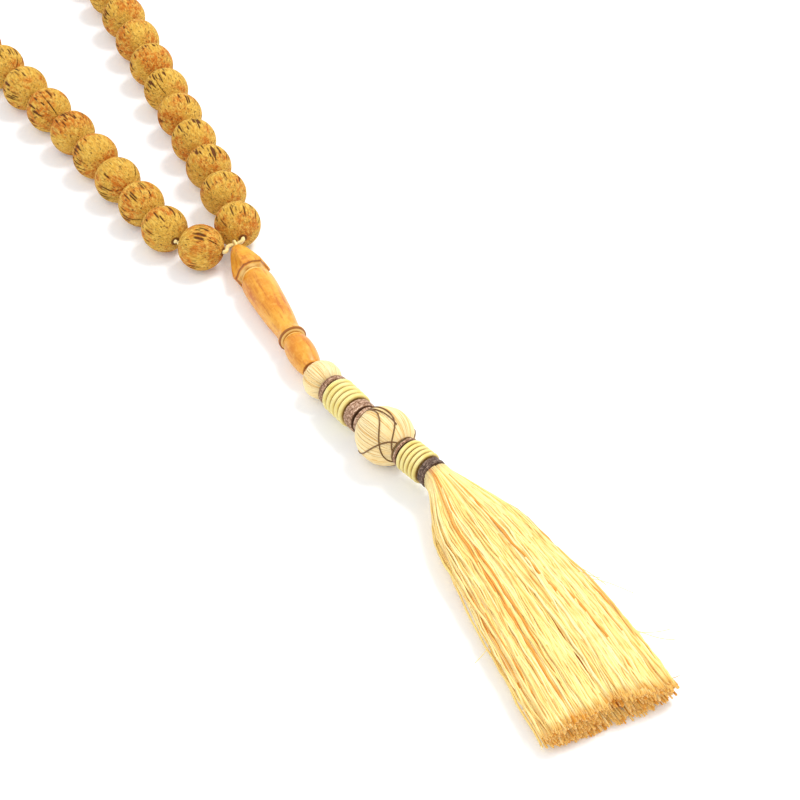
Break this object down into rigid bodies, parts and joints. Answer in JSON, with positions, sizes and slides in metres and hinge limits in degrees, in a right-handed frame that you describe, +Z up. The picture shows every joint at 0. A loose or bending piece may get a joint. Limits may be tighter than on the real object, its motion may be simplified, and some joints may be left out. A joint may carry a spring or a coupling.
{
  "type": "misbaha prayer beads",
  "caption": "Loop of round wooden beads with marker discs, joined by a turned leader to a thread-wound tassel head and a long silk skirt, laid flat.",
  "frame": {"origin": "middle of the whole's bounding box, on the surface it lies on", "axes": "+Y from the tassel's skirt to the loop's far end, +Z up, +X to the right of that"},
  "size_m": [0.0516, 0.3202, 0.0117],
  "materials": {
    "bead_wood": "dry open-pored wood, ochre with orange patches and short dark pores",
    "marker_wood": "the beads' wood, turned as a disc",
    "leader_wood": "honey-coloured satin wood with streaks along it",
    "core_wood": "plain turned wood, hidden",
    "stringing_cord": "twisted cream cord",
    "cream_silk": "silk thread laid from end to end of the ball",
    "bundle_silk": "silk threads, hidden",
    "bronze_thread": "bronze-coloured metallic thread, wound tight",
    "gimp_cord": "pale yellow gimp cord with a silky wrap",
    "skirt_silk": "cream-yellow silk threads, golden at the cut ends"
  },
  "bodies": {
    "leader": {"leader_cap": "leader_wood", "leader_body": "leader_wood", "leader_cord": "stringing_cord"},
    "leader_foot": {"leader_foot": "leader_wood"},
    "head_upper": {"silk_ball_1": "cream_silk", "core_1": "core_wood", "band_1": "bronze_thread", "coil_1": "gimp_cord", "band_2": "bronze_thread", "bundle_upper": "bundle_silk"},
    "head_lower": {"silk_ball_2": "cream_silk", "core_2": "core_wood", "band_3": "bronze_thread", "coil_2": "gimp_cord", "band_4": "bronze_thread", "bundle_lower": "bundle_silk"},
    "skirt": {"skirt": "skirt_silk"},
    "loop_yoke": {"cord_yoke": "stringing_cord"},
    "strand_right_1": {"cord_right_1": "stringing_cord"},
    "strand_right_2": {"cord_right_2": "stringing_cord"},
    "strand_tip_right": {"cord_tip_right": "stringing_cord"},
    "strand_left_1": {"cord_left_1": "stringing_cord"},
    "strand_left_2": {"cord_left_2": "stringing_cord"},
    "strand_tip_left": {"cord_tip_left": "stringing_cord"},
    "bead_01": {"bead_01": "bead_wood"},
    "bead_02": {"bead_02": "bead_wood"},
    "bead_03": {"bead_03": "bead_wood"},
    "bead_04": {"bead_04": "bead_wood"},
    "bead_05": {"bead_05": "bead_wood"},
    "bead_06": {"bead_06": "bead_wood"},
    "bead_07": {"bead_07": "bead_wood"},
    "bead_08": {"bead_08": "bead_wood"},
    "bead_09": {"bead_09": "bead_wood"},
    "bead_10": {"bead_10": "bead_wood"},
    "bead_11": {"bead_11": "bead_wood"},
    "bead_12": {"bead_12": "bead_wood"},
    "bead_13": {"bead_13": "bead_wood"},
    "bead_14": {"bead_14": "bead_wood"},
    "bead_15": {"bead_15": "bead_wood"},
    "bead_16": {"bead_16": "bead_wood"},
    "bead_17": {"bead_17": "bead_wood"},
    "bead_18": {"bead_18": "bead_wood"},
    "bead_19": {"bead_19": "bead_wood"},
    "bead_20": {"bead_20": "bead_wood"},
    "bead_21": {"bead_21": "bead_wood"},
    "bead_22": {"bead_22": "bead_wood"},
    "bead_23": {"bead_23": "bead_wood"},
    "bead_24": {"bead_24": "bead_wood"},
    "bead_25": {"bead_25": "bead_wood"},
    "bead_26": {"bead_26": "bead_wood"},
    "bead_27": {"bead_27": "bead_wood"},
    "bead_28": {"bead_28": "bead_wood"},
    "bead_29": {"bead_29": "bead_wood"},
    "bead_30": {"bead_30": "bead_wood"},
    "bead_31": {"bead_31": "bead_wood"},
    "bead_32": {"bead_32": "bead_wood"},
    "bead_33": {"bead_33": "bead_wood"},
    "marker_1": {"marker_1": "marker_wood"},
    "marker_2": {"marker_2": "marker_wood"}
  },
  "joints": [
    {"name": "loop_swing", "type": "hinge", "parent": "leader", "child": "loop_yoke", "pos_m": [0.0024, -0.00498, 0.005], "axis": [0, 0, 1], "range_deg": [-30, 10]},
    {"name": "loop_open", "type": "hinge", "parent": "loop_yoke", "child": "strand_right_1", "pos_m": [0.00688, 0.00594, 0.005], "axis": [0, 0, -1], "range_deg": [-8, 8]},
    {"name": "loop_open_right_2", "type": "hinge", "parent": "strand_right_1", "child": "strand_right_2", "pos_m": [0.01369, 0.05718, 0.005], "axis": [0, 0, -1], "range_deg": [-15.5, 15.5]},
    {"name": "loop_open_right_3", "type": "hinge", "parent": "strand_right_2", "child": "strand_tip_right", "pos_m": [0.0201, 0.11121, 0.005], "axis": [0, 0, -1], "range_deg": [-6.9, 6.9]},
    {"name": "loop_open_left_1", "type": "hinge", "parent": "loop_yoke", "child": "strand_left_1", "pos_m": [-0.00845, 0.00076, 0.005], "axis": [0, 0, 1], "range_deg": [-8.7, 8.7]},
    {"name": "loop_open_left_2", "type": "hinge", "parent": "strand_left_1", "child": "strand_left_2", "pos_m": [-0.01238, 0.05209, 0.005], "axis": [0, 0, 1], "range_deg": [-15.2, 15.2]},
    {"name": "loop_open_left_3", "type": "hinge", "parent": "strand_left_2", "child": "strand_tip_left", "pos_m": [-0.01913, 0.10607, 0.005], "axis": [0, 0, 1], "range_deg": [-5.5, 5.5]},
    {"name": "head_swing", "type": "hinge", "parent": "leader", "child": "head_upper", "pos_m": [-0.0017, -0.04918, 0.00415], "axis": [0, 0, 1], "range_deg": [-15, 15]},
    {"name": "head_bend", "type": "hinge", "parent": "head_upper", "child": "head_lower", "pos_m": [-0.00038, -0.06956, 0.00595], "axis": [0, 0, 1], "range_deg": [-8, 8]},
    {"name": "skirt_swing", "type": "hinge", "parent": "head_lower", "child": "skirt", "pos_m": [0.00409, -0.09069, 0.00595], "axis": [0, 0, 1], "range_deg": [-18, 18]},
    {"name": "foot_spin", "type": "hinge", "parent": "leader", "child": "leader_foot", "pos_m": [-0.00071, -0.03873, 0.00404], "axis": [-0.0945, -0.9955, 0.0104], "continuous": true},
    {"name": "count_slide", "type": "slide", "parent": "loop_yoke", "child": "bead_01", "axis": [0.2212, 0.9752, 0], "range_m": [0, 0.0011]},
    {"name": "spin_bead_02", "type": "hinge", "parent": "strand_right_1", "child": "bead_02", "pos_m": [0.0077, 0.01158, 0.005], "axis": [0.1442, 0.9895, 0], "continuous": true},
    {"name": "spin_bead_03", "type": "hinge", "parent": "strand_right_1", "child": "bead_03", "pos_m": [0.00903, 0.02169, 0.005], "axis": [0.1157, 0.9933, 0], "continuous": true},
    {"name": "spin_bead_04", "type": "hinge", "parent": "strand_right_1", "child": "bead_04", "pos_m": [0.01028, 0.03181, 0.005], "axis": [0.1295, 0.9916, 0], "continuous": true},
    {"name": "spin_bead_05", "type": "hinge", "parent": "strand_right_1", "child": "bead_05", "pos_m": [0.01167, 0.04192, 0.005], "axis": [0.1425, 0.9898, 0], "continuous": true},
    {"name": "spin_bead_06", "type": "hinge", "parent": "strand_right_1", "child": "bead_06", "pos_m": [0.01303, 0.05203, 0.005], "axis": [0.1258, 0.9921, 0], "continuous": true},
    {"name": "spin_bead_07", "type": "hinge", "parent": "strand_right_2", "child": "bead_07", "pos_m": [0.01427, 0.06235, 0.005], "axis": [0.1112, 0.9938, 0], "continuous": true},
    {"name": "spin_bead_08", "type": "hinge", "parent": "strand_right_2", "child": "bead_08", "pos_m": [0.01543, 0.07249, 0.005], "axis": [0.1162, 0.9932, 0], "continuous": true},
    {"name": "spin_bead_09", "type": "hinge", "parent": "strand_right_2", "child": "bead_09", "pos_m": [0.01663, 0.08262, 0.005], "axis": [0.1195, 0.9928, 0], "continuous": true},
    {"name": "spin_bead_10", "type": "hinge", "parent": "strand_right_2", "child": "bead_10", "pos_m": [0.01787, 0.09274, 0.005], "axis": [0.1235, 0.9923, 0], "continuous": true},
    {"name": "spin_bead_11", "type": "hinge", "parent": "strand_right_2", "child": "bead_11", "pos_m": [0.01912, 0.10286, 0.005], "axis": [0.1207, 0.9927, 0], "continuous": true},
    {"name": "spin_bead_12", "type": "hinge", "parent": "strand_tip_right", "child": "bead_12", "pos_m": [0.02049, 0.11639, 0.005], "axis": [0.0763, 0.9971, 0], "continuous": true},
    {"name": "spin_bead_13", "type": "hinge", "parent": "strand_tip_right", "child": "bead_13", "pos_m": [0.02075, 0.12687, 0.005], "axis": [-0.0266, 0.9996, 0], "continuous": true},
    {"name": "spin_bead_14", "type": "hinge", "parent": "strand_tip_right", "child": "bead_14", "pos_m": [0.01939, 0.13723, 0.005], "axis": [-0.2324, 0.9726, 0], "continuous": true},
    {"name": "spin_bead_15", "type": "hinge", "parent": "strand_tip_right", "child": "bead_15", "pos_m": [0.01529, 0.14672, 0.005], "axis": [-0.55, 0.8352, 0], "continuous": true},
    {"name": "spin_bead_16", "type": "hinge", "parent": "strand_tip_right", "child": "bead_16", "pos_m": [0.00769, 0.15342, 0.005], "axis": [-0.8974, 0.4413, 0], "continuous": true},
    {"name": "spin_bead_17", "type": "hinge", "parent": "strand_tip_left", "child": "bead_17", "pos_m": [-0.00266, 0.1549, 0.005], "axis": [-0.9852, -0.1716, 0], "continuous": true},
    {"name": "spin_bead_18", "type": "hinge", "parent": "strand_tip_left", "child": "bead_18", "pos_m": [-0.01172, 0.15047, 0.005], "axis": [-0.7404, -0.6721, 0], "continuous": true},
    {"name": "spin_bead_19", "type": "hinge", "parent": "strand_tip_left", "child": "bead_19", "pos_m": [-0.01775, 0.14215, 0.005], "axis": [-0.4078, -0.9131, 0], "continuous": true},
    {"name": "spin_bead_20", "type": "hinge", "parent": "strand_tip_left", "child": "bead_20", "pos_m": [-0.02047, 0.13214, 0.005], "axis": [-0.1106, -0.9939, 0], "continuous": true},
    {"name": "spin_bead_21", "type": "hinge", "parent": "strand_tip_left", "child": "bead_21", "pos_m": [-0.02071, 0.12168, 0.005], "axis": [0.0666, -0.9978, 0], "continuous": true},
    {"name": "spin_bead_22", "type": "hinge", "parent": "strand_tip_left", "child": "bead_22", "pos_m": [-0.01974, 0.11123, 0.005], "axis": [0.1168, -0.9932, 0], "continuous": true},
    {"name": "spin_bead_23", "type": "hinge", "parent": "strand_left_2", "child": "bead_23", "pos_m": [-0.01812, 0.09773, 0.005], "axis": [0.1211, -0.9926, 0], "continuous": true},
    {"name": "spin_bead_24", "type": "hinge", "parent": "strand_left_2", "child": "bead_24", "pos_m": [-0.01688, 0.08761, 0.005], "axis": [0.1232, -0.9924, 0], "continuous": true},
    {"name": "spin_bead_25", "type": "hinge", "parent": "strand_left_2", "child": "bead_25", "pos_m": [-0.01559, 0.07749, 0.005], "axis": [0.1288, -0.9917, 0], "continuous": true},
    {"name": "spin_bead_26", "type": "hinge", "parent": "strand_left_2", "child": "bead_26", "pos_m": [-0.01429, 0.06737, 0.005], "axis": [0.1263, -0.992, 0], "continuous": true},
    {"name": "spin_bead_27", "type": "hinge", "parent": "strand_left_2", "child": "bead_27", "pos_m": [-0.01302, 0.05725, 0.005], "axis": [0.123, -0.9924, 0], "continuous": true},
    {"name": "spin_bead_28", "type": "hinge", "parent": "strand_left_1", "child": "bead_28", "pos_m": [-0.01185, 0.04691, 0.005], "axis": [0.1008, -0.9949, 0], "continuous": true},
    {"name": "spin_bead_29", "type": "hinge", "parent": "strand_left_1", "child": "bead_29", "pos_m": [-0.011, 0.03675, 0.005], "axis": [0.0665, -0.9978, 0], "continuous": true},
    {"name": "spin_bead_30", "type": "hinge", "parent": "strand_left_1", "child": "bead_30", "pos_m": [-0.01028, 0.02658, 0.005], "axis": [0.0758, -0.9971, 0], "continuous": true},
    {"name": "spin_bead_31", "type": "hinge", "parent": "strand_left_1", "child": "bead_31", "pos_m": [-0.00936, 0.01642, 0.005], "axis": [0.1033, -0.9947, 0], "continuous": true},
    {"name": "spin_bead_32", "type": "hinge", "parent": "strand_left_1", "child": "bead_32", "pos_m": [-0.00865, 0.00625, 0.005], "axis": [0.0362, -0.9993, 0], "continuous": true},
    {"name": "spin_bead_33", "type": "hinge", "parent": "loop_yoke", "child": "bead_33", "pos_m": [-0.0046, -0.00317, 0.005], "axis": [0.7009, -0.7133, 0], "continuous": true},
    {"name": "spin_marker_1", "type": "hinge", "parent": "strand_right_2", "child": "marker_1", "pos_m": [0.01991, 0.10952, 0.005], "axis": [0.1112, 0.9938, 0], "continuous": true},
    {"name": "spin_marker_2", "type": "hinge", "parent": "strand_left_2", "child": "marker_2", "pos_m": [-0.01893, 0.10438, 0.005], "axis": [0.1203, -0.9927, 0], "continuous": true}
  ],
  "couplings": [
    {"joint": "loop_open_right_2", "follows": "loop_open", "ratio": -1.88},
    {"joint": "loop_open_right_3", "follows": "loop_open", "ratio": 0.8},
    {"joint": "loop_open_left_1", "follows": "loop_open", "ratio": 1.03},
    {"joint": "loop_open_left_2", "follows": "loop_open", "ratio": -1.84},
    {"joint": "loop_open_left_3", "follows": "loop_open", "ratio": 0.63}
  ]
}
